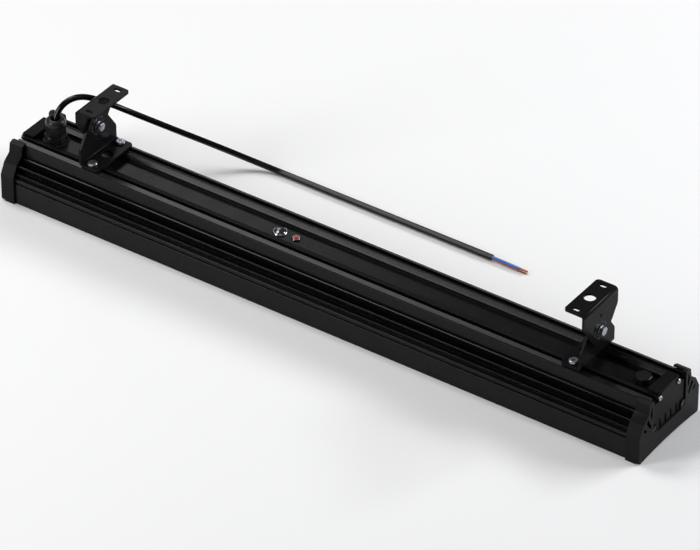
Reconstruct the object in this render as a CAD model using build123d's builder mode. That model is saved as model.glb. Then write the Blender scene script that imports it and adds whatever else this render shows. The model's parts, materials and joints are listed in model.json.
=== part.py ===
from build123d import *
import math
import os

os.makedirs("parts", exist_ok=True)

# Linear high-bay light: an extruded housing with fanned cooling fins, moulded end caps,
# a driver channel on top, two tilting wall brackets and a supply cable.
# Millimetres. X runs along the housing, Y across it, Z up. The end caps stand on Z = 0.

# Overall sizes
overall_length = 900.0
cap_width = 124.0
cap_length = 18.5
sheet = 3.0
clear = 0.3

# Housing section, as half widths (y) and heights (z)
skirt_step = 3.0
skirt_wall = 3.0
skirt_top = 27.7
groove_depth = 2.8
ledge_low = 30.6
ledge_top = 34.5
led_plate_low = 13.0
led_plate_top = 17.5
lens_ledge = 7.6
lens_ledge_width = 3.5
core_wall = 3.8
web_low = 40.0
web_top = 43.0
roof_low = 61.8
channel_floor = 64.5
rail_inner_width = 11.1
rail_top = 72.3
rail_inset = 11.1
slot_width = 5.8
slot_lip = 2.0
cavity_width = 10.3
cavity_height = 4.6
outer_channel = 11.0
air_fin = 2.0
fin_tip = 1.6
fin_root = 2.4

# End closures
plate_recess = 1.9
plate_sheet = 2.0
end_gasket = 1.0
plate_side_gap = 1.55
tongue_lip = 0.7
shoulder_height = 63.8
flap_top = 74.0
flap_length = 16.4
bar_top = 24.9
arm_gap = 5.0
plate_gap = 0.35
boss_inset = 4.2
boss_z = 31.0
boss_radius = 4.8
boss_screw_head = 6.6
port_inset = 8.1
port_z = 67.4
port_radius = 1.3
plate_screw_head = 6.2
arch_rise = 3.4
cap_skin = 1.8

# Lens and light source
lens_thickness = 2.4
lens_gasket = 1.0
lens_rib_width = 15.0
lens_rib_drop = 2.3
board_inset = 31.0
board_width = 34.0
board_thickness = 1.6
board_gap = 3.0
chip_size = 5.0
chip_height = 0.8
chips_per_board = 14

# Brackets: four bent brackets of one pattern, two a side
bracket_inset = 97.5
bracket_width = 70.0
bracket_foot = 28.0
bracket_drop = 38.9
bracket_bend = 5.0
bracket_tip_radius = 19.0
bracket_straight = 21.0
bracket_hole = 14.4
bracket_slot_width = 5.6
bracket_slot_length = 9.8
slot_from_edge = 12.6
screw_shift = 1.2
pivot_bolt = 6.0
pivot_hole = pivot_bolt + 0.1
pivot_hex = 10.0
pivot_head_height = 4.2
pivot_nut_height = 5.2
pivot_washer = 1.2
pivot_washer_radius = 6.0
ear_gap = 0.1
foot_screw = 4.9
foot_screw_head = 12.0
foot_head_height = 3.6
dial_radius = 10.6
dial_hole = 2.2
dial_count = 12
pointer_drop = 19.0

# Cable entry, vent plug and the controls in the channel
gland_inset = 36.7
gland_bore = 10.1
gland_washer_radius = 15.9
gland_side_gap = 0.3
gland_washer = 1.5
gland_hex = 26.0
gland_hex_height = 5.0
nut_hex = 24.4
dome_radius = 12.2
nut_height = 26.0
nut_hex_height = 13.0
mouth_radius = 7.2
vent_inset = 35.7
vent_radius = 10.1
vent_height = 8.5
vent_bore = 6.1
sensor_x = -86.0
sensor_radius = 9.1
lamp_x = -63.2
lamp_radius = 5.8

# Supply cable
cable_diameter = 7.5
core_diameter = 2.7
copper_diameter = 1.8
core_length = 38.0
copper_length = 11.0
cable_route = [
    (0.0, 0.0, 92.0),
    (2.0, 4.1, 103.1),
    (6.9, 12.9, 112.8),
    (14.8, 24.7, 117.7),
    (24.5, 36.7, 116.1),
    (38.8, 53.0, 106.5),
    (60.8, 75.0, 86.0),
    (95.3, 105.8, 59.5),
    (135.3, 137.6, 32.0),
    (185.3, 169.8, 3.8),
    (511.3, 169.8, 3.8),
]

# Driver and terminal block in the closed compartment
driver_length = 310.0
driver_gap = 5.6
driver_top_gap = 2.0
driver_corner = 3.0
terminal_from_gland = 80.0
terminal_length = 32.0
terminal_width = 20.0
terminal_height = 13.0
terminal_pitch = 10.0
terminal_screw = 3.6
terminal_depth = 3.0

# Lengths that follow from the sizes above
half_length = overall_length / 2
cap_half = cap_width / 2
skirt_half = cap_half - skirt_step
channel_half = gland_washer_radius + gland_side_gap
rail_centre = channel_half + rail_inner_width
core_half = rail_centre + rail_inset
core_inner = core_half - core_wall
air_fin_pitch = (core_inner - outer_channel - air_fin / 2) / 2
arm_inner = core_half - arm_gap
plate_half = arm_inner - plate_side_gap
boss_y = arm_inner - boss_inset
port_y = rail_centre - port_inset
tongue_half = port_y + tongue_lip
board_y = skirt_half - board_inset
bracket_x = half_length - bracket_inset
gland_x = gland_inset - half_length
vent_x = half_length - vent_inset
cable_points = [(gland_x + along, across, up) for along, across, up in cable_route]
sheath_end = cable_points[-1][0]
housing_end = half_length - plate_recess - plate_sheet - end_gasket
plate_back = housing_end + end_gasket
plate_face = plate_back + plate_sheet
slot_in = rail_centre - slot_width / 2
slot_out = rail_centre + slot_width / 2
cavity_in = rail_centre - cavity_width / 2
cavity_out = rail_centre + cavity_width / 2
cavity_top = rail_top - slot_lip
cavity_floor = cavity_top - cavity_height
pivot_z = rail_top + bracket_drop
top_z = pivot_z + bracket_drop

# Outline of the cap from the floor up the side and over the arm
cap_side = 36.5
cap_outline = [
    (cap_half, cap_side),
    (cap_half - 7.5, cap_side + 14.7),
    (core_half + 6.2, cap_side + 22.5),
    (core_half + 4.2, cap_side + 34.5),
    (core_half - 1.2, rail_top + 0.9),
]


def mirrored(points):
    """A closed outline from its right half: the half, then its mirror image."""
    return points + [(-y, z) for y, z in reversed(points)]


def fin_outline(root, tip):
    """A tapered fin between two points of the section."""
    dy, dz = tip[0] - root[0], tip[1] - root[1]
    size = math.hypot(dy, dz)
    ny, nz = dz / size, -dy / size
    return [
        (root[0] + ny * fin_root / 2, root[1] + nz * fin_root / 2),
        (tip[0] + ny * fin_tip / 2, tip[1] + nz * fin_tip / 2),
        (tip[0] - ny * fin_tip / 2, tip[1] - nz * fin_tip / 2),
        (root[0] - ny * fin_root / 2, root[1] - nz * fin_root / 2),
    ]


# Housing: one extrusion with skirts, fanned fins, T-slot rails and closed chambers
skin = mirrored([
    (skirt_half - skirt_wall - lens_ledge_width, led_plate_low),
    (skirt_half - skirt_wall - lens_ledge_width, lens_ledge),
    (skirt_half - skirt_wall, lens_ledge),
    (skirt_half - skirt_wall, 3.9),
    (skirt_half - skirt_wall - 1.1, 3.7),
    (skirt_half - skirt_wall - 1.1, 3.2),
    (skirt_half - skirt_wall, 2.5),
    (skirt_half - skirt_wall, 0.0),
    (skirt_half, 0.0),
    (skirt_half, skirt_top - 0.6),
    (skirt_half - 0.6, skirt_top),
    (skirt_half - groove_depth, skirt_top),
    (skirt_half - groove_depth, ledge_low),
    (skirt_half, ledge_low),
    (skirt_half, ledge_top - 0.6),
    (skirt_half - 0.6, ledge_top),
    (skirt_half - 6.5, ledge_top + 1.0),
    (core_half + 0.4, ledge_top + 4.0),
    (core_half, roof_low - 5.8),
    (rail_centre + 9.2, rail_top - 2.9),
    (rail_centre + 8.0, rail_top - 1.9),
    (slot_out, rail_top),
    (slot_out, cavity_top),
    (cavity_out, cavity_top),
    (cavity_out, cavity_floor),
    (cavity_in, cavity_floor),
    (cavity_in, cavity_top),
    (slot_in, cavity_top),
    (slot_in, rail_top),
    (slot_in - 2.6, rail_top - 0.55),
    (slot_in - 3.1, rail_top - 1.15),
    (slot_in - 7.2, rail_top - 2.5),
    (channel_half - 0.9, rail_top - 3.3),
    (channel_half - 0.9, rail_top - 4.2),
    (channel_half, rail_top - 4.9),
    (channel_half, channel_floor),
])
fins = [
    [(core_half - 0.4, 44.5), (core_half + 3.5, 55.5)],
    [(core_half + 5.0, 36.2), (skirt_half - 7.5, 49.4)],
    [(skirt_half - 7.4, 34.0), (skirt_half - 2.9, 40.8)],
]
side_chamber = [
    (core_half + 0.1, led_plate_top),
    (skirt_half - 3.2, led_plate_top),
    (skirt_half - 3.2, skirt_top - 2.2),
    (skirt_half - 5.6, skirt_top + 0.4),
    (skirt_half - 5.6, ledge_low + 0.8),
    (core_half + 0.1, ledge_top + 0.6),
]

with BuildSketch() as housing_section:
    with BuildLine():
        Polyline(*skin, close=True)
    make_face()
    for root, tip in fins:
        with BuildLine():
            Polyline(*fin_outline(root, tip), close=True)
        make_face()
        with BuildLine():
            Polyline(*[(-y, z) for y, z in fin_outline(root, tip)], close=True)
        make_face()
    for side in (1, -1):
        with BuildLine():
            Polyline(*[(side * y, z) for y, z in side_chamber], close=True)
        make_face(mode=Mode.SUBTRACT)
    with Locations((0, (web_top + roof_low) / 2)):
        RectangleRounded(2 * core_inner, roof_low - web_top, 1.5, mode=Mode.SUBTRACT)
    for side in (1, -1):
        for n in range(3):
            inner = n * air_fin_pitch + air_fin / 2
            outer = (n + 1) * air_fin_pitch - air_fin / 2 if n < 2 else core_inner
            with Locations((side * (inner + outer) / 2, (led_plate_top + web_low) / 2)):
                RectangleRounded(outer - inner, web_low - led_plate_top, 0.8, mode=Mode.SUBTRACT)
        with Locations((side * (boss_y + core_inner) / 2, boss_z)):
            Rectangle(core_inner - boss_y + 1.0, 3.0)
        with Locations((side * boss_y, boss_z)):
            Circle(boss_radius - 0.8)
            Circle(1.7, mode=Mode.SUBTRACT)
        with Locations((side * port_y, port_z)):
            Circle(port_radius, mode=Mode.SUBTRACT)

with BuildPart() as housing:
    with BuildSketch(Plane.YZ.offset(-housing_end)):
        add(housing_section.sketch)
    extrude(amount=2 * housing_end)
    for x, radius in ((gland_x, gland_bore), (vent_x, vent_bore), (sensor_x, 6.0), (lamp_x, 3.2)):
        with Locations((x, 0, channel_floor)):
            Hole(radius, depth=channel_floor - roof_low + 1)
housing.part.label = "housing"
export_step(housing.part, "parts/housing.step")


# End caps: an end wall with three vent slots a side, and a skin that wraps the housing
cap_slots = [
    [(cap_half - 14.4, 38.6), (cap_half - 11.4, 37.8), (cap_half - 8.0, 42.2), (cap_half - 9.4, 45.6)],
    [(core_half - 0.5, 39.4), (core_half + 2.2, 37.8), (cap_half - 13.4, 50.2), (cap_half - 17.0, 53.8)],
    [(core_half - 1.5, 50.2), (core_half + 0.2, 49.2), (core_half + 2.9, 59.6), (core_half - 1.2, 69.0)],
]
with BuildSketch() as cap_wall:
    with BuildLine():
        over = [(arm_inner, rail_top - 0.6)] + cap_outline[::-1] + [(cap_half, 2.0), (cap_half - 2.0, 0)]
        Polyline(*over)
        Polyline(*[(-y, z) for y, z in over])
        ThreePointArc((2.0 - cap_half, 0), (0, arch_rise), (cap_half - 2.0, 0))
        Line((-arm_inner, rail_top - 0.6), (arm_inner, rail_top - 0.6))
    make_face()
    with BuildSketch(mode=Mode.PRIVATE) as opening:
        with Locations((0, boss_z)):
            Rectangle(2 * arm_inner, flap_top, align=(Align.CENTER, Align.MIN))
        with Locations((0, bar_top)):
            Rectangle(2 * (boss_y - boss_radius), flap_top, align=(Align.CENTER, Align.MIN))
        with Locations((boss_y, boss_z), (-boss_y, boss_z)):
            Circle(boss_radius, mode=Mode.SUBTRACT)
    add(opening.sketch, mode=Mode.SUBTRACT)
    for side in (1, -1):
        for slot in cap_slots:
            with BuildLine():
                Polyline(*[(side * y, z) for y, z in slot], close=True)
            make_face(mode=Mode.SUBTRACT)

with BuildSketch() as cap_ring:
    with BuildLine():
        lip = rail_centre + 7.6
        over = [(lip, rail_top + 0.5)] + cap_outline[::-1] + [(cap_half, 0)]
        Polyline(*mirrored(over), close=True)
    make_face()
    with BuildSketch(mode=Mode.PRIVATE) as inside:
        add(cap_ring.sketch)
        offset(amount=-cap_skin, kind=Kind.INTERSECTION)
        Rectangle(2 * (skirt_half + clear), 4 * flap_top, mode=Mode.INTERSECT)
    add(inside.sketch, mode=Mode.SUBTRACT)
    Rectangle(2 * lip, 4 * flap_top, mode=Mode.SUBTRACT)
    with Locations((0, 0)):
        Rectangle(2 * (skirt_half + clear), 2 * cap_side - 4, mode=Mode.SUBTRACT)

# End plate: a bent sheet with four pointed vents, and the gasket behind it
with BuildSketch() as plate_outline:
    with Locations((0, boss_z)):
        Rectangle(2 * plate_half, shoulder_height - boss_z, align=(Align.CENTER, Align.MIN))
    with Locations((0, bar_top + plate_gap)):
        lower_half = boss_y - boss_radius - plate_gap
        Rectangle(2 * lower_half, 20, align=(Align.CENTER, Align.MIN))
    with Locations((boss_y, boss_z), (-boss_y, boss_z)):
        Circle(boss_radius + plate_gap, mode=Mode.SUBTRACT)
    Rectangle(2 * (tongue_half - 4), channel_floor + 3.0, align=(Align.CENTER, Align.MIN))
    Rectangle(2 * plate_half + 2, 2 * (bar_top + plate_gap), mode=Mode.SUBTRACT)
    with Locations((port_y, port_z), (-port_y, port_z)):
        Circle(plate_screw_head / 2 + 0.4)
    for n in range(4):
        y = (n - 1.5) * air_fin_pitch
        with BuildLine():
            Polyline((y - 1.8, bar_top + 1.0), (y + 1.8, bar_top + 1.0), (y + 1.3, bar_top + 9.0),
                     (y - 0.9, bar_top + 15.4), (y - 1.8, bar_top + 13.4), close=True)
        make_face(mode=Mode.SUBTRACT)
    with Locations((port_y, port_z), (-port_y, port_z)):
        Circle(port_radius + 0.4, mode=Mode.SUBTRACT)

for name, way in (("right", 1), ("left", -1)):
    end_plane = Plane(origin=(way * housing_end, 0, 0), x_dir=(0, 1, 0), z_dir=(1, 0, 0))
    with BuildPart() as end_cap:
        with BuildSketch(end_plane):
            add(cap_wall.sketch)
        extrude(amount=way * (half_length - housing_end))
        with BuildSketch(end_plane):
            add(cap_ring.sketch)
        extrude(amount=-way * (cap_length - half_length + housing_end))
        outer = end_cap.faces().filter_by(Axis.X).sort_by(Axis.X)[-1 if way > 0 else 0]
        with BuildSketch(Plane(origin=(way * half_length, 0, 0), x_dir=(0, 1, 0), z_dir=(1, 0, 0))):
            with Locations((boss_y, boss_z), (-boss_y, boss_z)):
                Circle(boss_screw_head / 2 + 0.3)
        extrude(amount=-way * 3.2, mode=Mode.SUBTRACT)
        with BuildSketch(end_plane):
            with Locations((boss_y, boss_z), (-boss_y, boss_z)):
                Circle(2.1)
        extrude(amount=way * 3.0, mode=Mode.SUBTRACT)
    end_cap.part.label = "end_cap_" + name
    export_step(end_cap.part, f"parts/end_cap_{name}.step")

    with BuildPart() as end_plate:
        with BuildSketch(Plane(origin=(way * plate_back, 0, 0), x_dir=(0, 1, 0), z_dir=(1, 0, 0))):
            add(plate_outline.sketch)
            with Locations((0, channel_floor)):
                Rectangle(2 * (tongue_half - 4), flap_top - channel_floor, align=(Align.CENTER, Align.MIN))
        extrude(amount=way * plate_sheet)
        with BuildSketch(Plane.XY.offset(flap_top - plate_sheet)):
            with Locations((way * (plate_face - flap_length / 2), 0)):
                Rectangle(flap_length, 2 * tongue_half)
        extrude(amount=plate_sheet)
        bend = end_plate.edges().filter_by(Axis.Y).filter_by(
            lambda e: abs(abs(e.center().X) - plate_face) < 0.01 and e.center().Z > flap_top - 0.1)
        fillet(bend, 1.6)
    end_plate.part.label = "end_plate_" + name
    export_step(end_plate.part, f"parts/end_plate_{name}.step")

    with BuildPart() as gasket:
        with BuildSketch(end_plane):
            add(plate_outline.sketch)
        extrude(amount=way * end_gasket)
    gasket.part.label = "end_gasket_" + name
    export_step(gasket.part, f"parts/end_gasket_{name}.step")

    with BuildPart() as plate_screws:
        with BuildSketch(Plane(origin=(way * plate_face, 0, 0), x_dir=(0, 1, 0), z_dir=(1, 0, 0))):
            with Locations((port_y, port_z), (-port_y, port_z)):
                Circle(plate_screw_head / 2)
        extrude(amount=way * plate_recess)
        chamfer(plate_screws.edges().filter_by(GeomType.CIRCLE).group_by(Axis.X)[-1 if way > 0 else 0], 0.7)
        with BuildSketch(Plane(origin=(way * plate_face, 0, 0), x_dir=(0, 1, 0), z_dir=(1, 0, 0))):
            with Locations((port_y, port_z), (-port_y, port_z)):
                Circle(port_radius - 0.05)
        extrude(amount=-way * 10.0)
        with BuildSketch(Plane(origin=(way * half_length, 0, 0), x_dir=(0, 1, 0), z_dir=(1, 0, 0))):
            with Locations((port_y, port_z), (-port_y, port_z)):
                Rectangle(4.4, 0.8)
                Rectangle(0.8, 4.4)
        extrude(amount=-way * 1.1, mode=Mode.SUBTRACT)
    plate_screws.part.label = "plate_screws_" + name
    export_step(plate_screws.part, f"parts/plate_screws_{name}.step")

    with BuildPart() as cap_screws:
        with BuildSketch(Plane(origin=(way * (half_length - 3.2), 0, 0), x_dir=(0, 1, 0), z_dir=(1, 0, 0))):
            with Locations((boss_y, boss_z), (-boss_y, boss_z)):
                Circle(boss_screw_head / 2)
        extrude(amount=way * 2.2)
        with BuildSketch(Plane(origin=(way * (half_length - 3.2), 0, 0), x_dir=(0, 1, 0), z_dir=(1, 0, 0))):
            with Locations((boss_y, boss_z), (-boss_y, boss_z)):
                Circle(1.65)
        extrude(amount=-way * 12.0)
        with BuildSketch(Plane(origin=(way * (half_length - 1.0), 0, 0), x_dir=(0, 1, 0), z_dir=(1, 0, 0))):
            with Locations((boss_y, boss_z), (-boss_y, boss_z)):
                Rectangle(4.2, 0.8)
                Rectangle(0.8, 4.2)
        extrude(amount=-way * 1.2, mode=Mode.SUBTRACT)
    cap_screws.part.label = "cap_screws_" + name
    export_step(cap_screws.part, f"parts/cap_screws_{name}.step")

# Lens: a clear strip with a half-round rib under each row of light sources, on a foam gasket
lens_half = skirt_half - skirt_wall - clear
lens_high = lens_ledge - lens_gasket
lens_low = lens_high - lens_thickness
rib_radius = (lens_rib_width ** 2 / 4 + lens_rib_drop ** 2) / (2 * lens_rib_drop)
with BuildPart() as lens:
    with BuildSketch(Plane.YZ.offset(-housing_end + clear)):
        with Locations((0, lens_low)):
            Rectangle(2 * lens_half, lens_thickness, align=(Align.CENTER, Align.MIN))
        for side in (1, -1):
            with BuildLine():
                left = (side * board_y - lens_rib_width / 2, lens_low)
                right = (side * board_y + lens_rib_width / 2, lens_low)
                ThreePointArc(left, (side * board_y, lens_low - lens_rib_drop), right)
                Line(left, right)
            make_face()
    extrude(amount=2 * (housing_end - clear))
lens.part.label = "lens"
export_step(lens.part, "parts/lens.step")

with BuildPart() as lens_seal:
    with BuildSketch(Plane.XY.offset(lens_high)):
        Rectangle(2 * (housing_end - clear), 2 * lens_half)
        Rectangle(2 * (housing_end - clear) - 2 * lens_ledge_width, 2 * (lens_half - lens_ledge_width),
                  mode=Mode.SUBTRACT)
    extrude(amount=lens_gasket)
lens_seal.part.label = "lens_gasket"
export_step(lens_seal.part, "parts/lens_gasket.step")

# Light boards: two rows of two, each with a row of square sources
board_length = housing_end - board_gap - 3.0
for row, side in (("front", -1), ("back", 1)):
    with BuildPart() as boards:
        with BuildSketch(Plane.XY.offset(led_plate_low - board_thickness)):
            for x in (-1, 1):
                with Locations((x * (board_gap + board_length) / 2, side * board_y)):
                    Rectangle(board_length, board_width)
        extrude(amount=board_thickness)
    boards.part.label = "led_boards_" + row
    export_step(boards.part, f"parts/led_boards_{row}.step")

    with BuildPart() as chips:
        with BuildSketch(Plane.XY.offset(led_plate_low - board_thickness - chip_height)):
            for x in (-1, 1):
                with Locations((x * (board_gap + board_length) / 2, side * board_y)):
                    with GridLocations(board_length / chips_per_board, 1, chips_per_board, 1):
                        Rectangle(chip_size, chip_size)
        extrude(amount=chip_height)
    chips.part.label = "led_chips_" + row
    export_step(chips.part, f"parts/led_chips_{row}.step")

# Driver and terminal block on the floor of the closed compartment
with BuildPart() as driver:
    with BuildSketch(Plane.XY.offset(web_top)):
        RectangleRounded(driver_length, 2 * (core_inner - driver_gap), driver_corner)
    extrude(amount=roof_low - web_top - driver_top_gap)
driver.part.label = "driver"
export_step(driver.part, "parts/driver.step")

with BuildPart() as terminal_block:
    with BuildSketch(Plane.XY.offset(web_top)):
        with Locations((gland_x + terminal_from_gland, 0)):
            Rectangle(terminal_length, terminal_width)
    extrude(amount=terminal_height)
    with BuildSketch(Plane.XY.offset(web_top + terminal_height)):
        with Locations((gland_x + terminal_from_gland, 0)):
            with GridLocations(terminal_pitch, terminal_pitch, 3, 2):
                Circle(terminal_screw / 2)
    extrude(amount=-terminal_depth, mode=Mode.SUBTRACT)
terminal_block.part.label = "terminal_block"
export_step(terminal_block.part, "parts/terminal_block.step")


# Ear of a bracket in its own plane, pivot at the origin: straight sides, a taper and a round tip
shoulder = bracket_straight - bracket_drop
reach = math.hypot(bracket_width / 2, shoulder)
touch = math.acos(bracket_tip_radius / reach) + math.atan2(shoulder, bracket_width / 2)
tip_y = bracket_tip_radius * math.cos(touch)
tip_z = bracket_tip_radius * math.sin(touch)
with BuildSketch() as ear:
    with BuildLine():
        half = bracket_width / 2
        Polyline((-tip_y, tip_z), (-half, shoulder), (-half, -bracket_drop), (half, -bracket_drop),
                 (half, shoulder), (tip_y, tip_z))
        ThreePointArc((tip_y, tip_z), (0, bracket_tip_radius), (-tip_y, tip_z))
    make_face()
    fillet(ear.vertices().filter_by(lambda v: abs(v.Y - shoulder) < 0.01), 8.0)
    Circle(pivot_hole / 2, mode=Mode.SUBTRACT)
    with PolarLocations(dial_radius, dial_count, start_angle=15):
        Circle(dial_hole / 2, mode=Mode.SUBTRACT)
    with BuildLine():
        Polyline((0, 2.2 - pointer_drop), (2.0, -1.4 - pointer_drop), (1.2, -3.0 - pointer_drop),
                 (-1.2, -3.0 - pointer_drop), (-2.0, -1.4 - pointer_drop), close=True)
    make_face(mode=Mode.SUBTRACT)

# Brackets: the lower one stands on the rails, the upper one turns on the pivot bolt
for name, side in (("right", 1), ("left", -1)):
    for kind, way in (("foot", 1), ("tilt", -1)):
        inner = bracket_x - sheet if kind == "foot" else bracket_x + ear_gap
        face = inner + sheet
        level = pivot_z - way * bracket_drop
        with BuildPart() as bracket:
            with BuildSketch(Plane(origin=(side * inner, 0, pivot_z), x_dir=(0, 1, 0), z_dir=(1, 0, 0))):
                add(ear.sketch, rotation=0 if way > 0 else 180)
            extrude(amount=side * sheet)
            with BuildSketch(Plane.XY.offset(level)):
                with Locations((side * (face - bracket_foot / 2), 0)):
                    Rectangle(bracket_foot, bracket_width)
                with Locations((side * (face - bracket_foot + slot_from_edge), 0)):
                    Circle(bracket_hole / 2, mode=Mode.SUBTRACT)
                with Locations(
                    (side * (face - bracket_foot + slot_from_edge), rail_centre),
                    (side * (face - bracket_foot + slot_from_edge), -rail_centre),
                ):
                    SlotOverall(bracket_slot_length, bracket_slot_width, mode=Mode.SUBTRACT)
            extrude(amount=way * sheet)
            outer_bend = bracket.edges().filter_by(Axis.Y).filter_by(
                lambda e: abs(abs(e.center().X) - face) < 0.01 and abs(e.center().Z - level) < 0.01)
            fillet(outer_bend, bracket_bend)
            inner_bend = bracket.edges().filter_by(Axis.Y).filter_by(
                lambda e: abs(abs(e.center().X) - inner) < 0.01
                and abs(e.center().Z - level - way * sheet) < 0.01)
            fillet(inner_bend, bracket_bend - sheet)
            corners = bracket.edges().filter_by(Axis.Z).filter_by(
                lambda e: abs(abs(e.center().X) - (face - bracket_foot)) < 0.01)
            fillet(corners, 4.5)
        bracket.part.label = f"{kind}_bracket_{name}"
        export_step(bracket.part, f"parts/{kind}_bracket_{name}.step")

    # Pivot bolt from the outer side, washers on both sides, nut on the inner side
    outer_x = bracket_x + sheet + 2 * ear_gap
    inner_x = bracket_x - sheet
    head_x = side * (outer_x + pivot_washer)
    nut_x = side * (inner_x - pivot_washer)
    shank = abs(head_x - nut_x) + pivot_nut_height + 1.2
    with BuildPart() as pivot:
        with BuildSketch(Plane(origin=(head_x, 0, pivot_z), x_dir=(0, 1, 0), z_dir=(1, 0, 0))):
            RegularPolygon(pivot_hex / 2, 6, major_radius=False)
        extrude(amount=side * pivot_head_height)
        with BuildSketch(Plane(origin=(head_x, 0, pivot_z), x_dir=(0, 1, 0), z_dir=(1, 0, 0))):
            Circle(pivot_bolt / 2)
        extrude(amount=-side * shank)
    pivot.part.label = "pivot_bolt_" + name
    export_step(pivot.part, f"parts/pivot_bolt_{name}.step")

    with BuildPart() as washers:
        for x in (outer_x, inner_x - pivot_washer):
            with BuildSketch(Plane(origin=(side * x, 0, pivot_z), x_dir=(0, 1, 0), z_dir=(1, 0, 0))):
                Circle(pivot_washer_radius)
                Circle(pivot_bolt / 2 + 0.2, mode=Mode.SUBTRACT)
            extrude(amount=side * pivot_washer)
    washers.part.label = "pivot_washers_" + name
    export_step(washers.part, f"parts/pivot_washers_{name}.step")

    with BuildPart() as nut:
        with BuildSketch(Plane(origin=(nut_x, 0, pivot_z), x_dir=(0, 1, 0), z_dir=(1, 0, 0))):
            RegularPolygon(pivot_hex / 2, 6, major_radius=False)
            Circle(pivot_bolt / 2 + 0.02, mode=Mode.SUBTRACT)
        extrude(amount=-side * pivot_nut_height)
    nut.part.label = "pivot_nut_" + name
    export_step(nut.part, f"parts/pivot_nut_{name}.step")

    # Screws through the slots of the foot into square nuts in the rails
    screw_x = side * (bracket_x - bracket_foot + slot_from_edge + screw_shift)
    foot_top = rail_top + sheet
    with BuildPart() as foot_screws:
        with BuildSketch(Plane.XY.offset(foot_top)):
            with Locations((screw_x, rail_centre), (screw_x, -rail_centre)):
                Circle(foot_screw_head / 2)
        extrude(amount=foot_head_height)
        chamfer(foot_screws.edges().filter_by(GeomType.CIRCLE).group_by(Axis.Z)[-1], 1.1, 1.5)
        with BuildSketch(Plane.XY.offset(foot_top)):
            with Locations((screw_x, rail_centre), (screw_x, -rail_centre)):
                Circle(foot_screw / 2)
        extrude(amount=-(foot_top - cavity_floor - 0.3))
        with BuildSketch(Plane.XY.offset(foot_top + foot_head_height)):
            with Locations((screw_x, rail_centre), (screw_x, -rail_centre)):
                Rectangle(6.0, 1.2)
                Rectangle(1.2, 6.0)
        extrude(amount=-2.0, mode=Mode.SUBTRACT)
    foot_screws.part.label = "foot_screws_" + name
    export_step(foot_screws.part, f"parts/foot_screws_{name}.step")

    with BuildPart() as slot_nuts:
        with BuildSketch(Plane.XY.offset(cavity_top)):
            with Locations((screw_x, rail_centre), (screw_x, -rail_centre)):
                Rectangle(10.0, cavity_width - 0.4)
                Circle(foot_screw / 2 + 0.02, mode=Mode.SUBTRACT)
        extrude(amount=-4.0)
    slot_nuts.part.label = "slot_nuts_" + name
    export_step(slot_nuts.part, f"parts/slot_nuts_{name}.step")

# Cable gland: washer, body with lock nut below the floor, dome nut, clamping seal
with BuildPart() as gland_seat:
    with BuildSketch(Plane.XY.offset(channel_floor)):
        with Locations((gland_x, 0)):
            Circle(gland_washer_radius)
            Circle(gland_bore, mode=Mode.SUBTRACT)
    extrude(amount=gland_washer)
gland_seat.part.label = "gland_washer"
export_step(gland_seat.part, "parts/gland_washer.step")

body_low = channel_floor + gland_washer
body_top = body_low + gland_hex_height
thread_radius = gland_bore - 0.15
with BuildPart() as gland_body:
    with BuildSketch(Plane.XY.offset(body_low)):
        with Locations((gland_x, 0)):
            RegularPolygon(gland_hex / 2, 6, major_radius=False)
    extrude(amount=gland_hex_height)
    with BuildSketch(Plane.XY.offset(body_low)):
        with Locations((gland_x, 0)):
            Circle(thread_radius)
    extrude(amount=-(body_low - roof_low + 7.0))
    with BuildSketch(Plane.XY.offset(body_top)):
        with Locations((gland_x, 0)):
            Circle(8.6)
    extrude(amount=nut_height - 12.0)
    with BuildSketch(Plane.XY.offset(roof_low - 7.0)):
        with Locations((gland_x, 0)):
            Circle(6.0)
    extrude(amount=gland_hex_height + 2 * nut_height, mode=Mode.SUBTRACT)
gland_body.part.label = "gland_body"
export_step(gland_body.part, "parts/gland_body.step")

with BuildPart() as lock_nut:
    with BuildSketch(Plane.XY.offset(roof_low)):
        with Locations((gland_x, 0)):
            RegularPolygon(12.5, 6, major_radius=False)
            Circle(thread_radius + 0.02, mode=Mode.SUBTRACT)
    extrude(amount=-4.5)
lock_nut.part.label = "gland_lock_nut"
export_step(lock_nut.part, "parts/gland_lock_nut.step")

nut_top = body_top + nut_height
with BuildPart() as dome_nut:
    with BuildSketch(Plane.XY.offset(body_top)):
        with Locations((gland_x, 0)):
            RegularPolygon(nut_hex / 2, 6, major_radius=False)
    extrude(amount=nut_hex_height)
    chamfer(dome_nut.edges().group_by(Axis.Z)[-1], 1.2)
    with BuildSketch(Plane(origin=(gland_x, 0, body_top), x_dir=(1, 0, 0), z_dir=(0, -1, 0))):
        with BuildLine():
            Polyline((0, nut_hex_height - 1.0), (dome_radius, nut_hex_height - 1.0),
                     (dome_radius, nut_hex_height + 3.6), (dome_radius - 0.6, nut_hex_height + 6.6),
                     (dome_radius - 1.9, nut_hex_height + 9.6), (dome_radius - 3.9, nut_height - 0.9),
                     (mouth_radius, nut_height), (0, nut_height), (0, nut_hex_height - 1.0))
        make_face()
    revolve(axis=Axis((gland_x, 0, 0), (0, 0, 1)))
    with BuildSketch(Plane.XY.offset(nut_top)):
        with Locations((gland_x, 0)):
            Circle(mouth_radius - 0.4)
    extrude(amount=-9.0, mode=Mode.SUBTRACT)
    with BuildSketch(Plane.XY.offset(body_top)):
        with Locations((gland_x, 0)):
            Circle(8.8)
    extrude(amount=nut_height - 9.0, mode=Mode.SUBTRACT)
dome_nut.part.label = "gland_dome_nut"
export_step(dome_nut.part, "parts/gland_dome_nut.step")

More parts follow.
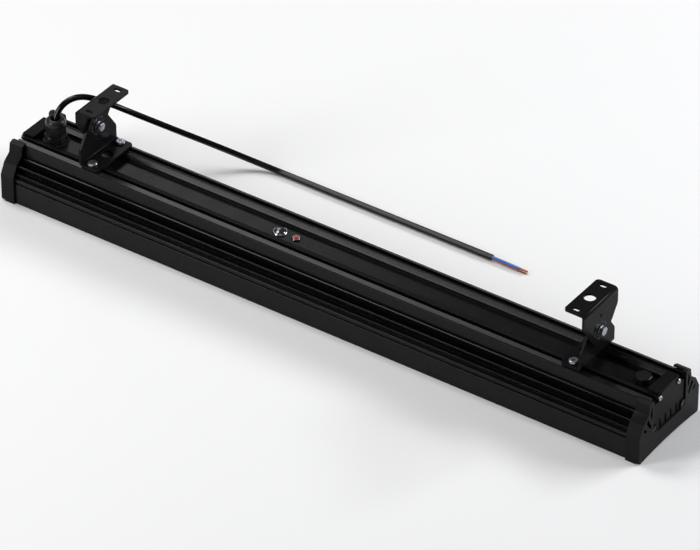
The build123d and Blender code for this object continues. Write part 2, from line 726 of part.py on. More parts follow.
exit_point = Vector(*cable_points[0])
exit_way = (Vector(*cable_points[1]) - exit_point).normalized()
with BuildPart() as gland_seal:
    with BuildSketch(Plane.XY.offset(roof_low - 2.0)):
        with Locations((gland_x, 0)):
            Circle(5.3)
    extrude(amount=exit_point.Z - 3.0 - (roof_low - 2.0))
    with BuildSketch(Plane(origin=exit_point, z_dir=exit_way)):
        Circle(cable_diameter / 2 + 0.4)
    extrude(amount=-3.5)
gland_seal.part.label = "gland_seal"
export_step(gland_seal.part, "parts/gland_seal.step")

with BuildPart() as gland_claw:
    with BuildSketch(Plane.XY.offset(nut_top - 9.0)):
        with Locations((gland_x, 0)):
            Circle(mouth_radius - 0.5)
            Circle(mouth_radius - 1.6, mode=Mode.SUBTRACT)
            with PolarLocations(mouth_radius - 0.4, 7):
                Rectangle(4.0, 1.6, mode=Mode.SUBTRACT)
    extrude(amount=7.6)
    with BuildSketch(Plane.XY.offset(nut_top - 10.0)):
        with Locations((gland_x, 0)):
            Circle(mouth_radius - 0.5)
            Circle(mouth_radius - 1.3, mode=Mode.SUBTRACT)
    extrude(amount=1.0)
gland_claw.part.label = "gland_claw"
export_step(gland_claw.part, "parts/gland_claw.step")

# Vent plug with six small windows under its round cap
with BuildPart() as vent_plug:
    with BuildSketch(Plane.XY.offset(channel_floor + 1.2)):
        with Locations((vent_x, 0)):
            RegularPolygon(vent_radius, 8, rotation=22.5)
    extrude(amount=vent_height - 1.2)
    chamfer(vent_plug.edges().group_by(Axis.Z)[-1], 0.7)
    with BuildSketch(Plane.XY.offset(channel_floor + 2.6)):
        with Locations((vent_x, 0)):
            with PolarLocations(vent_radius, 8):
                Rectangle(3.0, 3.4, mode=Mode.ADD)
    extrude(amount=2.4, mode=Mode.SUBTRACT)
    with BuildSketch(Plane.XY.offset(channel_floor + 1.2)):
        with Locations((vent_x, 0)):
            Circle(vent_bore - 0.1)
    extrude(amount=-10.0)
vent_plug.part.label = "vent_plug"
export_step(vent_plug.part, "parts/vent_plug.step")

with BuildPart() as vent_ring:
    with BuildSketch(Plane.XY.offset(channel_floor)):
        with Locations((vent_x, 0)):
            Circle(vent_radius - 1.0)
            Circle(vent_bore, mode=Mode.SUBTRACT)
    extrude(amount=1.2)
vent_ring.part.label = "vent_seal_ring"
export_step(vent_ring.part, "parts/vent_seal_ring.step")

# Daylight sensor and indicator lamp: a bezel each, with a dome that stands in it
domes = (
    ("sensor", sensor_x, sensor_radius, sensor_radius - 1.7, 6.0, 4.6),
    ("lamp", lamp_x, lamp_radius, 2.4, 3.2, 4.4),
)
for name, x, radius, eye, bore, height in domes:
    with BuildPart() as bezel:
        with BuildSketch(Plane(origin=(x, 0, channel_floor), x_dir=(1, 0, 0), z_dir=(0, -1, 0))):
            with BuildLine():
                Polyline((eye + 0.1, 0), (radius, 0), (radius, 0.9), (radius - 1.0, 2.2), (eye + 0.1, 2.2),
                         (eye + 0.1, 0))
            make_face()
        revolve(axis=Axis((x, 0, 0), (0, 0, 1)))
    bezel.part.label = name + "_bezel"
    export_step(bezel.part, f"parts/{name}_bezel.step")
    with BuildPart() as dome:
        with BuildSketch(Plane(origin=(x, 0, channel_floor), x_dir=(1, 0, 0), z_dir=(0, -1, 0))):
            with BuildLine():
                Polyline((0, 0), (eye, 0), (eye, 0.5 * height), (0.87 * eye, 0.75 * height),
                         (0.5 * eye, 0.94 * height), (0, height), (0, 0))
            make_face()
        revolve(axis=Axis((x, 0, 0), (0, 0, 1)))
        with BuildSketch(Plane.XY.offset(channel_floor)):
            with Locations((x, 0)):
                Circle(min(eye, bore) - 0.2)
        extrude(amount=-3.0)
    dome.part.label = name + "_dome"
    export_step(dome.part, f"parts/{name}_dome.step")

# Cable: straight runs joined by arcs, then three bare cores with stripped ends
radii = []
for before, here, after in zip(cable_points, cable_points[1:], cable_points[2:]):
    run_in = Vector(*here) - Vector(*before)
    run_out = Vector(*after) - Vector(*here)
    half_turn = math.radians(run_in.get_angle(run_out) / 2)
    radii.append(0.45 * min(run_in.length, run_out.length) / math.tan(half_turn))
print("cable radii", [round(r, 1) for r in radii])

with BuildPart() as cable_sheath:
    with BuildLine() as cable_line:
        FilletPolyline(*cable_points, radius=radii)
    with BuildSketch(Plane(origin=exit_point, z_dir=exit_way)):
        Circle(cable_diameter / 2)
    sweep(path=cable_line.wires()[0], transition=Transition.RIGHT)
cable_sheath.part.label = "cable_sheath"
export_step(cable_sheath.part, "parts/cable_sheath.step")
cable_length = cable_line.wires()[0].length
print("cable length", round(cable_length, 1), "volume ratio",
      round(cable_sheath.part.volume / (cable_length * math.pi * cable_diameter ** 2 / 4), 5))

core_starts = {"green": (1.61, -0.05), "blue": (-0.77, 1.41), "brown": (-0.84, -1.37)}
core_ends = {"green": (1.7, -0.95), "blue": (-0.77, 0.5), "brown": (-1.0, -2.25)}
end_y, end_z = cable_points[-1][1:]
for name in ("green", "blue", "brown"):
    y0, z0 = core_starts[name]
    y1, z1 = core_ends[name]
    way = Vector(core_length, y1 - y0, z1 - z0).normalized()
    with BuildPart() as core:
        with BuildSketch(Plane(origin=(sheath_end, end_y + y0, end_z + z0), x_dir=(0, 1, 0), z_dir=(1, 0, 0))):
            Circle(core_diameter / 2)
        extrude(amount=core_length / way.X, dir=way)
    core.part.label = "core_" + name
    export_step(core.part, f"parts/core_{name}.step")
    with BuildPart() as copper:
        with BuildSketch(Plane(origin=(sheath_end + core_length, end_y + y1, end_z + z1),
                               x_dir=(0, 1, 0), z_dir=(1, 0, 0))):
            Circle(copper_diameter / 2)
        extrude(amount=copper_length / way.X, dir=way)
    copper.part.label = "copper_" + name
    export_step(copper.part, f"parts/copper_{name}.step")
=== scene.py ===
import json
import math
import bpy
import numpy as np
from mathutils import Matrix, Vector


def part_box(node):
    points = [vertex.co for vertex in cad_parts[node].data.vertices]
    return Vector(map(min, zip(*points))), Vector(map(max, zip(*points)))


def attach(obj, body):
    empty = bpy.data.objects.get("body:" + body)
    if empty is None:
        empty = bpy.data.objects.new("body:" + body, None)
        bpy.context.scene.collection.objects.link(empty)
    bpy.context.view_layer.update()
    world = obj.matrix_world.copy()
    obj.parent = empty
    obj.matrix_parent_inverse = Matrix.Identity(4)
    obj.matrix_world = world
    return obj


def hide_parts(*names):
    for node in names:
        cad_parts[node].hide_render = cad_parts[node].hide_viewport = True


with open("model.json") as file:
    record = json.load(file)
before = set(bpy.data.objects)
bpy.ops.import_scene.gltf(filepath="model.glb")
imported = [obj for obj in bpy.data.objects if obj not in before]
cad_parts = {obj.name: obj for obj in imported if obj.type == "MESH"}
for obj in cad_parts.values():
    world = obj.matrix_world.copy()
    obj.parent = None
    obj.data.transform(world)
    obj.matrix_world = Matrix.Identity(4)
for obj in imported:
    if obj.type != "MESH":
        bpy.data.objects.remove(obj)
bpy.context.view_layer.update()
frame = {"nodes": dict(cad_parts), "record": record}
nodes = frame["nodes"]
print("frame loaded:", len(nodes), "nodes")


# camera

shot = {
    "sensorWidth": 36.0,                       # mm
    "lens": 287.18,                            # mm, a long lens
    "place": (3.0049, -4.2778, 3.8399),        # metres
    "turn": (53.98, 0.0, 34.97),               # degrees
    "clipEnd": 60.0,                           # metres
}

cameraData = bpy.data.cameras.new("photoCamera")
cameraData.sensor_width = shot["sensorWidth"]
cameraData.lens = shot["lens"]
cameraData.clip_end = shot["clipEnd"]
camera = bpy.data.objects.new("photoCamera", cameraData)
camera.location = shot["place"]
camera.rotation_euler = [math.radians(angle) for angle in shot["turn"]]
bpy.context.collection.objects.link(camera)
scene = bpy.context.scene
scene.camera = camera
scene.view_settings.view_transform = "Standard"


# floor and sky

studio = {
    "floorSize": 14.0,                         # metres, a square
    "floorColour": (0.95, 0.95, 0.95),
    "floorRough": 0.9,
    "skyColour": (0.92, 0.94, 1.0),
    "skyLevel": 0.12,
}

world = bpy.data.worlds.new("studio")
world.use_nodes = True
sky = world.node_tree.nodes["Background"]
sky.inputs["Color"].default_value = (*studio["skyColour"], 1)
sky.inputs["Strength"].default_value = studio["skyLevel"]
scene.world = world

half = studio["floorSize"] / 2
floorCorners = [(-half, -half, 0), (half, -half, 0), (half, half, 0), (-half, half, 0)]
floorMesh = bpy.data.meshes.new("floor")
floorMesh.from_pydata(floorCorners, [], [(0, 1, 2, 3)])
floor = bpy.data.objects.new("floor", floorMesh)
bpy.context.collection.objects.link(floor)
floorPaint = bpy.data.materials.new("floorPaint")
floorPaint.use_nodes = True
floorShader = floorPaint.node_tree.nodes["Principled BSDF"]
floorShader.inputs["Base Color"].default_value = (*studio["floorColour"], 1)
floorShader.inputs["Roughness"].default_value = studio["floorRough"]
floorShader.inputs["Specular IOR Level"].default_value = 0.0
floorMesh.materials.append(floorPaint)


# lamps

lampAim = (0, 0, 0.05)                         # all lamps face the middle of the housing
lamps = {
    # name: place and size in metres, power in watts, colour
    "overLeft": ((-1.9, 0.1, 2.9), 1.4, 1.4, 51, (1.0, 0.99, 0.97)),
    "frontLeft": ((-1.6, -2.5, 1.35), 1.0, 1.5, 47, (1.0, 1.0, 1.0)),
    "topFront": ((0.9, -1.6, 3.2), 2.0, 2.0, 8, (1.0, 1.0, 1.0)),
    "rimRight": ((2.0, 2.2, 1.65), 2.0, 0.45, 74, (0.97, 0.98, 1.0)),
    "backLeft": ((-1.85, 2.0, 1.9), 0.8, 0.8, 3.9, (0.97, 0.98, 1.0)),
}


def softLamp(name, place, width, height, power, colour):
    # a rectangular area lamp at place, turned so that its -Z axis points at the aim
    data = bpy.data.lights.new(name, "AREA")
    data.shape = "RECTANGLE"
    data.size = width
    data.size_y = height
    data.energy = power
    data.color = colour
    lamp = bpy.data.objects.new(name, data)
    lamp.location = place
    lamp.rotation_euler = (Vector(lampAim) - Vector(place)).to_track_quat("-Z", "Y").to_euler()
    bpy.context.collection.objects.link(lamp)


for name, (place, width, height, power, colour) in lamps.items():
    softLamp(name, place, width, height, power, colour)
print("camera, floor and lamps done")


# finishes

grain = {
    "cloudScale": 38.0, "cloudDetail": 4.0,    # soft patches of tone and gloss
    "darkAt": 0.3, "paleAt": 0.7,              # cloud values with the darkest and the palest tone
    "fineDetail": 2.0, "fineDepth": 0.0002,    # metres
    "leastRough": 0.02,
}


def finish(name, colour, rough, specular=0.5, metallic=0.0, tone=0.15, fine=900.0, bump=0.05, clear=0.0,
           stretch=(1, 1, 1), roughSpread=0.06):
    # a Principled surface: colour x (1 -/+ tone) and rough -/+ roughSpread follow one soft noise, and a
    # bump of its own scale lies over it
    paint = bpy.data.materials.new(name)
    paint.use_nodes = True
    tree = paint.node_tree
    shader = tree.nodes["Principled BSDF"]
    shader.inputs["Specular IOR Level"].default_value = specular
    shader.inputs["Metallic"].default_value = metallic
    shader.inputs["Coat Weight"].default_value = clear
    place = tree.nodes.new("ShaderNodeTexCoord")
    scale = tree.nodes.new("ShaderNodeMapping")
    scale.inputs["Scale"].default_value = stretch
    tree.links.new(place.outputs["Object"], scale.inputs["Vector"])

    cloud = tree.nodes.new("ShaderNodeTexNoise")
    cloud.inputs["Scale"].default_value = grain["cloudScale"]
    cloud.inputs["Detail"].default_value = grain["cloudDetail"]
    tree.links.new(scale.outputs["Vector"], cloud.inputs["Vector"])
    ramp = tree.nodes.new("ShaderNodeValToRGB")
    dark, pale = ramp.color_ramp.elements
    dark.position = grain["darkAt"]
    pale.position = grain["paleAt"]
    dark.color = (*[c * (1 - tone) for c in colour], 1)
    pale.color = (*[min(1.0, c * (1 + tone)) for c in colour], 1)
    tree.links.new(cloud.outputs["Fac"], ramp.inputs["Fac"])
    tree.links.new(ramp.outputs["Color"], shader.inputs["Base Color"])
    spread = tree.nodes.new("ShaderNodeMapRange")
    spread.inputs["To Min"].default_value = max(grain["leastRough"], rough - roughSpread)
    spread.inputs["To Max"].default_value = min(1.0, rough + roughSpread)
    tree.links.new(cloud.outputs["Fac"], spread.inputs["Value"])
    tree.links.new(spread.outputs["Result"], shader.inputs["Roughness"])

    speck = tree.nodes.new("ShaderNodeTexNoise")
    speck.inputs["Scale"].default_value = fine
    speck.inputs["Detail"].default_value = grain["fineDetail"]
    tree.links.new(scale.outputs["Vector"], speck.inputs["Vector"])
    relief = tree.nodes.new("ShaderNodeBump")
    relief.inputs["Strength"].default_value = bump
    relief.inputs["Distance"].default_value = grain["fineDepth"]
    tree.links.new(speck.outputs["Fac"], relief.inputs["Height"])
    tree.links.new(relief.outputs["Normal"], shader.inputs["Normal"])
    return paint


paints = {
    # powder coat, moulded plastic and rubber
    "housing_black": finish("housingPowderCoat", (0.0058, 0.0058, 0.0060), 0.27, 0.145, fine=1300,
                            bump=0.08),
    "cap_black": finish("capMouldedPlastic", (0.0090, 0.0090, 0.0094), 0.38, 0.068, fine=2200, bump=0.30),
    "plate_black": finish("platePowderCoat", (0.0080, 0.0080, 0.0083), 0.36, 0.045, fine=1500, bump=0.18),
    "bracket_black": finish("bracketPowderCoat", (0.0085, 0.0085, 0.0089), 0.19, 0.045, fine=1600,
                            bump=0.10, roughSpread=0.03),
    "gasket_rubber": finish("gasketFoam", (0.010, 0.010, 0.010), 0.75, 0.3, fine=2600, bump=0.5),
    "gland_plastic": finish("glandNylon", (0.0130, 0.0130, 0.0135), 0.34, 0.28, fine=1800, bump=0.20),
    "vent_plastic": finish("ventNylon", (0.0080, 0.0080, 0.0083), 0.36, 0.20, fine=1800, bump=0.20),
    "cable_black": finish("cableRubber", (0.0022, 0.0022, 0.0023), 0.15, 0.32, fine=2400, bump=0.10,
                          roughSpread=0.03),
    # inside the housing and under the lens
    "board_white": finish("boardSolderMask", (0.82, 0.82, 0.79), 0.35, tone=0.03, fine=500, bump=0.03),
    "chip_yellow": finish("chipPhosphor", (0.80, 0.60, 0.12), 0.30, tone=0.05, fine=800),
    "driver_metal": finish("driverSheet", (0.62, 0.62, 0.63), 0.38, metallic=1.0, tone=0.05, fine=700,
                           bump=0.1, stretch=(0.1, 1, 1)),
    "terminal_grey": finish("terminalPlastic", (0.60, 0.60, 0.57), 0.40, tone=0.05),
    # sensor and lamp
    "bright_bezel": finish("bezelChrome", (0.34, 0.34, 0.37), 0.20, metallic=1.0, tone=0.05, bump=0.02,
                           roughSpread=0.03),
    "lamp_chrome": finish("lampDarkChrome", (0.085, 0.085, 0.10), 0.10, metallic=1.0, tone=0.05, bump=0.02,
                          roughSpread=0.03),
    "sensor_clear": finish("sensorDarkDome", (0.012, 0.012, 0.016), 0.05, 0.6, tone=0.2, bump=0.0, clear=0.8,
                           roughSpread=0.02),
    "lamp_red": finish("lampRedPlastic", (0.95, 0.040, 0.028), 0.16, tone=0.08, bump=0.0, clear=0.4,
                       roughSpread=0.02),
    # fasteners
    "dark_steel": finish("darkSteel", (0.22, 0.22, 0.24), 0.34, metallic=1.0, tone=0.25, fine=1200,
                         bump=0.15),
    "zinc": finish("zincPlate", (0.40, 0.41, 0.45), 0.30, metallic=1.0, tone=0.12, fine=1500, bump=0.12),
    # cable ends
    "core_blue": finish("coreBlue", (0.012, 0.165, 0.74), 0.30, tone=0.08),
    "core_brown": finish("coreBrown", (0.45, 0.175, 0.085), 0.34, tone=0.08),
    "copper": finish("copperStrand", (0.50, 0.155, 0.055), 0.28, metallic=1.0, tone=0.12, fine=2500,
                     bump=0.1),
}


lens = {"clearness": 0.92, "ior": 1.49}        # acrylic, slightly greyed


def lensFinish():
    # the same finish with transmission: clear acrylic, a little frosted
    paint = finish("lensAcrylic", (0.90, 0.93, 0.95), 0.16, tone=0.01, fine=400, roughSpread=0.03)
    shader = paint.node_tree.nodes["Principled BSDF"]
    shader.inputs["Transmission Weight"].default_value = lens["clearness"]
    shader.inputs["IOR"].default_value = lens["ior"]
    return paint


paints["lens_clear"] = lensFinish()


greenCore = {
    "green": (0.035, 0.20, 0.025),
    "yellow": (0.34, 0.34, 0.02),
    "slope": 0.0237,                           # how far the core falls for each metre of X
    "greenTop": 0.00700, "yellowFoot": 0.00730,    # metres above the floor, once the slope is taken out
}


def stripedCore():
    # height + slope x X levels the falling core out; it is green below greenTop and yellow above yellowFoot
    paint = finish("coreGreenYellow", greenCore["green"], 0.32, tone=0.06)
    tree = paint.node_tree
    place = tree.nodes.new("ShaderNodeTexCoord")
    axes = tree.nodes.new("ShaderNodeSeparateXYZ")
    tree.links.new(place.outputs["Object"], axes.inputs[0])
    level = tree.nodes.new("ShaderNodeMath")
    level.operation = "MULTIPLY_ADD"
    level.inputs[1].default_value = greenCore["slope"]
    tree.links.new(axes.outputs["X"], level.inputs[0])
    tree.links.new(axes.outputs["Z"], level.inputs[2])
    band = tree.nodes.new("ShaderNodeMapRange")
    band.inputs["From Min"].default_value = greenCore["greenTop"]
    band.inputs["From Max"].default_value = greenCore["yellowFoot"]
    tree.links.new(level.outputs[0], band.inputs["Value"])
    mix = tree.nodes.new("ShaderNodeMix")
    mix.data_type = "RGBA"
    mix.inputs["A"].default_value = (*greenCore["green"], 1)
    mix.inputs["B"].default_value = (*greenCore["yellow"], 1)
    tree.links.new(band.outputs["Result"], mix.inputs["Factor"])
    tree.links.new(mix.outputs["Result"], tree.nodes["Principled BSDF"].inputs["Base Color"])
    return paint


paints["core_green"] = stripedCore()


# each node takes the finish of its own slot, but for the fasteners and the lamp's bezel

slotOf = {piece["node"]: piece["material_slot"] for piece in frame["record"]["subparts"]}
fasteners = ("pivot_", "foot_screws", "plate_screws")


def paintOf(node):
    # the name of the finish that a node is drawn with
    if node == "lamp_bezel":
        return "lamp_chrome"
    return "zinc" if node.startswith(fasteners) else slotOf[node]


for node, thing in nodes.items():
    thing.data.materials.clear()
    thing.data.materials.append(paints[paintOf(node)])
for row in ("front", "back"):                  # white packages, whose yellow comes from the domes below
    nodes[f"led_chips_{row}"].data.materials[0] = paints["board_white"]
print("finishes done:", len(paints))


# rounded edges

edges = {
    # node: width in mm, least angle in degrees
    "housing": (0.60, 25),
    "lens": (0.2, 30),
    "driver": (0.8, 40),
    "terminal_block": (0.4, 40),
    "vent_plug": (0.3, 30),
    "gland_washer": (0.2, 30),
    "sensor_bezel": (0.15, 30),
    "lamp_bezel": (0.12, 30),
}
pairedEdges = {
    # the same at the left and the right end
    "end_cap": (0.60, 25),
    "end_plate": (0.40, 30),
    "foot_bracket": (0.45, 30),
    "tilt_bracket": (0.45, 30),
    "pivot_bolt": (0.3, 28),
    "pivot_nut": (0.3, 28),
    "pivot_washers": (0.15, 30),
    "foot_screws": (0.15, 30),
    "plate_screws": (0.12, 30),
    "cap_screws": (0.15, 30),
}
weldGap = {"nodes": 0.000002, "grids": 0.000001}    # metres


def softEdges(thing, width, angle):
    # merges the loose triangles, then rounds each edge sharper than the angle
    weld = thing.modifiers.new("merge", "WELD")
    weld.merge_threshold = weldGap["nodes"]
    bevel = thing.modifiers.new("edgeRound", "BEVEL")
    bevel.width = width / 1000
    bevel.segments = 2
    bevel.limit_method = "ANGLE"
    bevel.angle_limit = math.radians(angle)
    bevel.use_clamp_overlap = True
    bevel.harden_normals = True


for kind, (width, angle) in pairedEdges.items():
    edges[f"{kind}_left"] = (width, angle)
    edges[f"{kind}_right"] = (width, angle)
for node, (width, angle) in edges.items():
    softEdges(nodes[node], width, angle)
print("edges done:", len(edges))


# cable

cable = {
    "diameter": 0.0075,
    "length": 0.617,
    "order": 3, "steps": 12, "roundSteps": 6,
    "points": [
        # up out of the gland and over, in metres
        (-0.4133, 0.0, 0.0920), (-0.4142, 0.0023, 0.0979), (-0.4123, 0.0096, 0.1080),
        (-0.4069, 0.0186, 0.1149), (-0.3987, 0.0280, 0.1176), (-0.3893, 0.0369, 0.1153),
        # down behind the bracket
        (-0.3747, 0.0505, 0.1059), (-0.3526, 0.0756, 0.0843), (-0.3180, 0.1058, 0.0585),
        (-0.2780, 0.1376, 0.0320),
        # along the floor
        (-0.2280, 0.1698, 0.0038), (-0.1630, 0.1698, 0.0038), (0.0980, 0.1698, 0.0038),
    ],
}


def cableCurve(name):
    # a NURBS spline through the ends of the route and near its other points, drawn as a round tube
    data = bpy.data.curves.new(name, "CURVE")
    data.dimensions = "3D"
    line = data.splines.new("NURBS")
    line.points.add(len(cable["points"]) - 1)
    for point, place in zip(line.points, cable["points"]):
        point.co = (*place, 1)
    line.order_u = cable["order"]
    line.use_endpoint_u = True
    line.resolution_u = cable["steps"]
    data.bevel_depth = cable["diameter"] / 2
    data.bevel_resolution = cable["roundSteps"]
    data.use_fill_caps = True
    data.materials.append(paints["cable_black"])
    thing = bpy.data.objects.new(name, data)
    bpy.context.collection.objects.link(thing)
    return thing


sheath = cableCurve("cableSheath")
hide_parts("cable_sheath")
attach(sheath, "fixture")
print("cable done")


# grids of points, of which all the new meshes below are made

def gridMesh(name, places, paint, closedRows=False):
    # quads between neighbours of a grid of places (copies, rows, columns, 3); the last column joins the
    # first, and with closedRows the last row joins the first too
    copies, rows, columns = places.shape[:3]
    r0 = np.arange(rows if closedRows else rows - 1)[None, :, None]
    c0 = np.arange(columns)[None, None, :]
    r1 = (r0 + 1) % rows
    c1 = (c0 + 1) % columns
    first = np.arange(copies)[:, None, None] * rows * columns
    corners = [first + r * columns + c for r, c in ((r0, c0), (r1, c0), (r1, c1), (r0, c1))]
    quads = np.stack(corners, axis=-1).reshape(-1, 4)
    # faces point outwards when the volume that they close round each copy's middle is positive
    middles = places.reshape(copies, -1, 3).mean(axis=1, keepdims=True)
    arms = (places.reshape(copies, -1, 3) - middles).reshape(-1, 3)[quads]
    turned = np.cross(arms[:, 1], arms[:, 2]) + np.cross(arms[:, 2], arms[:, 3])
    if np.einsum("ij,ij->", arms[:, 0], turned) < 0:
        quads = quads[:, ::-1]
    mesh = bpy.data.meshes.new(name)
    mesh.from_pydata(places.reshape(-1, 3).tolist(), [], quads.tolist())
    mesh.polygons.foreach_set("use_smooth", np.ones(len(quads), dtype=bool))
    mesh.update()
    mesh.materials.append(paint)
    thing = bpy.data.objects.new(name, mesh)
    bpy.context.collection.objects.link(thing)
    merge = thing.modifiers.new("merge", "WELD")    # closes seams and poles
    merge.merge_threshold = weldGap["grids"]
    return thing


def fullTurn(sides):
    # angles of a full turn, without the last one, which is the first again
    return np.linspace(0, 2 * np.pi, sides, endpoint=False)


# dials of the brackets

dial = {
    "radius": 0.0106, "count": 12, "start": 15,    # metres, holes, degrees
    "rim": 0.00118, "wire": 0.00018,               # radius of a hole's rim and of its lip's wire, metres
    "rimSides": 18, "wireSides": 8,
    "sheet": 0.003,                                # thickness of the bracket, metres
}


def dialRims(name, side, faceX, body):
    # a torus round each hole: hole centre + (rim + wire cos v) (cos u, sin u) in the sheet, and
    # wire sin v out of it
    boltLow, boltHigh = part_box(f"pivot_bolt_{side}")
    axisZ = (boltLow[2] + boltHigh[2]) / 2
    spots = np.radians(dial["start"] + 360 / dial["count"] * np.arange(dial["count"]))[:, None, None]
    u = fullTurn(dial["rimSides"])[None, :, None]
    v = fullTurn(dial["wireSides"])[None, None, :]
    ring = dial["rim"] + dial["wire"] * np.cos(v)
    x = faceX + dial["wire"] * np.sin(v)
    y = dial["radius"] * np.cos(spots) + ring * np.cos(u)
    z = axisZ + dial["radius"] * np.sin(spots) + ring * np.sin(u)
    places = np.stack(np.broadcast_arrays(x, y, z), axis=-1)
    thing = gridMesh(name, places, paints["dark_steel"], closedRows=True)
    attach(thing, body)


for side, sign in (("left", -1), ("right", 1)):
    tiltX = [corner[0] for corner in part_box(f"tilt_bracket_{side}")]
    footX = [corner[0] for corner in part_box(f"foot_bracket_{side}")]
    outer = tiltX[1] if sign > 0 else tiltX[0]
    inner = (footX[1] if sign > 0 else footX[0]) - sign * dial["sheet"]
    dialRims(f"dialRimsOuter_{side}", side, outer, f"tilt_{side}_body")
    dialRims(f"dialRimsInner_{side}", side, inner, "fixture")
print("dial rims done")


# cable gland

gland = {
    # heights above the floor and radii, all in metres
    "bore": 0.0060, "shankFoot": 0.0094, "shankTop": 0.0098,
    "threadRadius": 0.00985, "threadDepth": 0.00022, "threadPitch": 0.0015,
    "threadStep": 0.00025, "threadEnd": 0.0006,    # between two rings, and from the last to the flange
    "flangeLow": 0.0660, "flangeTop": 0.0749, "flangeRadius": 0.0142, "flangeFlats": 0.0254,
    "flangeEdge": 0.0010, "flangeUnderCut": 0.0004,
    "edgeUp": 0.3, "edgeIn": 0.35,                 # shares of flangeEdge, at the middle of its rounding
    "sleeveRadius": 0.0086, "sleeveRise": 0.0096,
    "nutLow": 0.0752, "nutTop": 0.0882, "nutRadius": 0.0124, "nutFlats": 0.0216, "nutChamfer": 0.0009,
    "nutBore": 0.0090, "nutStep": 0.0002,
    "domeFoot": 0.0894, "domeTop": 0.0970, "domeRadius": 0.0126, "domeSteps": 12,
    "mouth": 0.0068, "mouthLip": 0.0009, "mouthDeep": 0.0008, "mouthCone": 0.0012,
    "around": 144,
    "edgeWidth": 0.25, "edgeAngle": 32,            # mm, degrees
}


def hexRadius(angle, flats):
    # distance from the axis to a hexagon's side: half the flats over the cosine of the angle to its middle
    near = (angle + np.pi / 6) % (np.pi / 3) - np.pi / 6
    return flats / 2 / np.cos(near)


def glandPiece(name, profile, flats, flatsTop, standsFor):
    # a closed profile of (height, radius) carried round the gland's axis; up to flatsTop, no radius is
    # more than the hexagon's
    low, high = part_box("gland_dome_nut")
    axisX = (low[0] + high[0]) / 2
    axisY = (low[1] + high[1]) / 2
    angle = fullTurn(gland["around"])[None, None, :]
    height = profile[:, 0][None, :, None] + 0 * angle
    radius = profile[:, 1][None, :, None] + 0 * angle
    radius = np.where(height <= flatsTop, np.minimum(radius, hexRadius(angle, flats)), radius)
    x = axisX + radius * np.cos(angle)
    y = axisY + radius * np.sin(angle)
    thing = gridMesh(name, np.stack([x, y, height], axis=-1), paints["gland_plastic"])
    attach(thing, "fixture")
    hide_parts(standsFor)
    softEdges(thing, gland["edgeWidth"], gland["edgeAngle"])


def glandFlange():
    # shank with a thread, radius + depth sin(2 pi height / pitch), then the flange and the nut's sleeve
    g = gland
    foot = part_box("gland_body")[0][2]
    rise = np.arange(foot, g["flangeLow"] - g["threadEnd"], g["threadStep"])
    thread = g["threadRadius"] + g["threadDepth"] * np.sin(2 * np.pi * rise / g["threadPitch"])
    top = g["flangeTop"]
    edge = g["flangeEdge"]
    wide = g["flangeRadius"]
    profile = np.concatenate([
        [(foot, g["bore"]), (foot, g["shankFoot"])],
        np.stack([rise, thread], axis=-1),
        [(g["flangeLow"], g["shankTop"]), (g["flangeLow"], wide - g["flangeUnderCut"])],
        [(g["flangeLow"] + edge / 2, wide), (top - edge, wide)],
        [(top - edge * g["edgeUp"], wide - edge * g["edgeIn"]), (top, wide - edge)],
        [(top, g["sleeveRadius"]), (top + g["sleeveRise"], g["sleeveRadius"])],
        [(top + g["sleeveRise"], g["bore"]), (foot, g["bore"])],
    ])
    glandPiece("glandFlange", profile, g["flangeFlats"], top, "gland_body")


def glandNut():
    # six flats cut in a round whose foot is a cone, then a quarter oval from the dome's foot to the mouth:
    # height = foot + (top - foot) sin t, radius = lip + (dome radius - lip) cos t
    g = gland
    t = np.linspace(0, math.pi / 2, g["domeSteps"])
    lip = g["mouth"] + g["mouthLip"]
    domeHeight = g["domeFoot"] + (g["domeTop"] - g["domeFoot"]) * np.sin(t)
    domeRadius = lip + (g["domeRadius"] - lip) * np.cos(t)
    low = g["nutLow"]
    top = g["nutTop"]
    wide = g["nutRadius"]
    profile = np.concatenate([
        [(low, g["nutBore"]), (low, wide - g["nutChamfer"]), (low + g["nutChamfer"], wide)],
        [(top - g["nutStep"], wide), (top + g["nutStep"], wide)],
        np.stack([domeHeight, domeRadius], axis=-1),
        [(g["domeTop"], g["mouth"]), (g["domeTop"] - g["mouthDeep"], g["mouth"])],
        [(top, g["mouth"] + g["mouthCone"]), (low, g["nutBore"])],
    ])
    glandPiece("glandNut", profile, g["nutFlats"], top, "gland_dome_nut")


glandFlange()
glandNut()
print("gland done")


# bare ends of the cores

strand = {
    "count": 6, "radius": 0.00031,             # round the middle one
    "bundle": 0.0009,                          # radius of the whole bundle, metres
    "lay": 0.009,                              # length of one turn, metres
    "steps": 34, "sides": 8,
    "taper": 1.5,                              # steps over which each end closes to a round tip
}


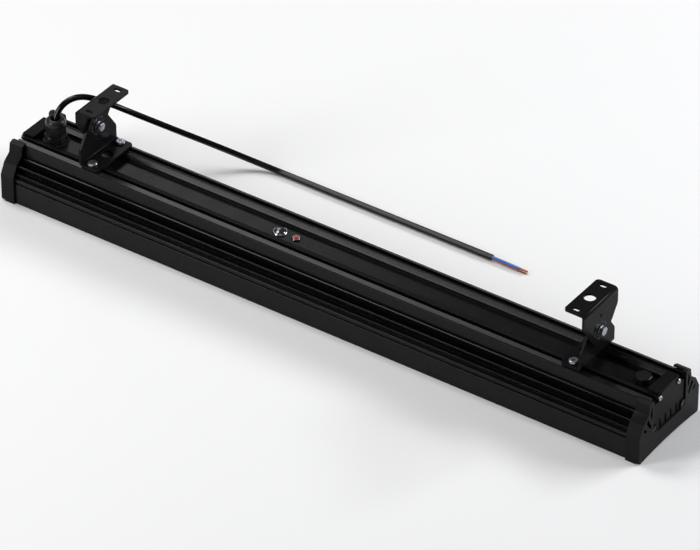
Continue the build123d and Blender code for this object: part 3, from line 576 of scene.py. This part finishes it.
def strandBundle(colour):
    # one straight strand and six round it: axis point + ring (cos a, sin a), where a is the strand's place
    # round the axis + 2 pi x / lay, and each strand is a tube whose radius closes at both ends
    node = f"copper_{colour}"
    low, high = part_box(node)
    along = np.linspace(0, 1, strand["steps"])
    x = low[0] + along * (high[0] - low[0])
    axisY = (low[1] + high[1]) / 2
    axisZ = (high[2] - strand["bundle"]) + along * (low[2] - high[2] + 2 * strand["bundle"])
    number = np.arange(strand["count"] + 1)[:, None]
    ring = np.where(number < strand["count"], strand["bundle"] - strand["radius"], 0.0)
    turn = 2 * np.pi * number / strand["count"] + 2 * np.pi * (x - low[0])[None, :] / strand["lay"]
    y = axisY + ring * np.cos(turn)
    z = axisZ + ring * np.sin(turn)
    v = fullTurn(strand["sides"])
    fromEnd = np.minimum(np.arange(strand["steps"]), np.arange(strand["steps"])[::-1])
    tube = strand["radius"] * np.minimum(1.0, np.sqrt(fromEnd / strand["taper"]))[None, :, None]
    tubeY = y[:, :, None] + tube * np.cos(v)
    tubeZ = z[:, :, None] + tube * np.sin(v)
    places = np.stack(np.broadcast_arrays(x[None, :, None], tubeY, tubeZ), axis=-1)
    thing = gridMesh(f"strands_{colour}", places, paints["copper"])
    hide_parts(node)
    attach(thing, "fixture")
    return thing


coreColours = ("green", "blue", "brown")
bundles = [strandBundle(colour) for colour in coreColours]
print("strands done")


# light sources

phosphor = {
    "radius": 0.0019, "rise": 0.00025,         # metres
    "sunk": 0.0001,                            # how far the closing disc lies inside the chip, metres
    "rings": 5, "sides": 16,
}


def phosphorDomes(row):
    # a flat dome under each chip: at r = 0 to 1 of its radius it hangs rise (1 - r^2) below the chip; a
    # disc just inside the chip closes it
    chips = nodes[f"led_chips_{row}"].data
    corners = np.empty(len(chips.vertices) * 3)
    chips.vertices.foreach_get("co", corners)
    corners = corners.reshape(-1, 3)
    low = corners.min(axis=0)
    high = corners.max(axis=0)
    sidesX = np.unique(np.round(corners[:, 0], 5))    # to 0.01 mm
    chipX = (sidesX[0::2] + sidesX[1::2]) / 2
    hang = phosphor["rise"] * (1 - np.linspace(0, 1, phosphor["rings"]) ** 2)
    r = np.concatenate([np.linspace(0, 1, phosphor["rings"]), [1, 0]])[None, :, None]
    drop = np.concatenate([-hang, [phosphor["sunk"]] * 2])[None, :, None]
    v = fullTurn(phosphor["sides"])[None, None, :]
    x = chipX[:, None, None] + phosphor["radius"] * r * np.cos(v)
    y = (low[1] + high[1]) / 2 + phosphor["radius"] * r * np.sin(v)
    z = low[2] + drop
    places = np.stack(np.broadcast_arrays(x, y, z), axis=-1)
    thing = gridMesh(f"phosphor_{row}", places, paints["chip_yellow"])
    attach(thing, "fixture")


phosphorDomes("front")
phosphorDomes("back")
print("phosphor domes done")
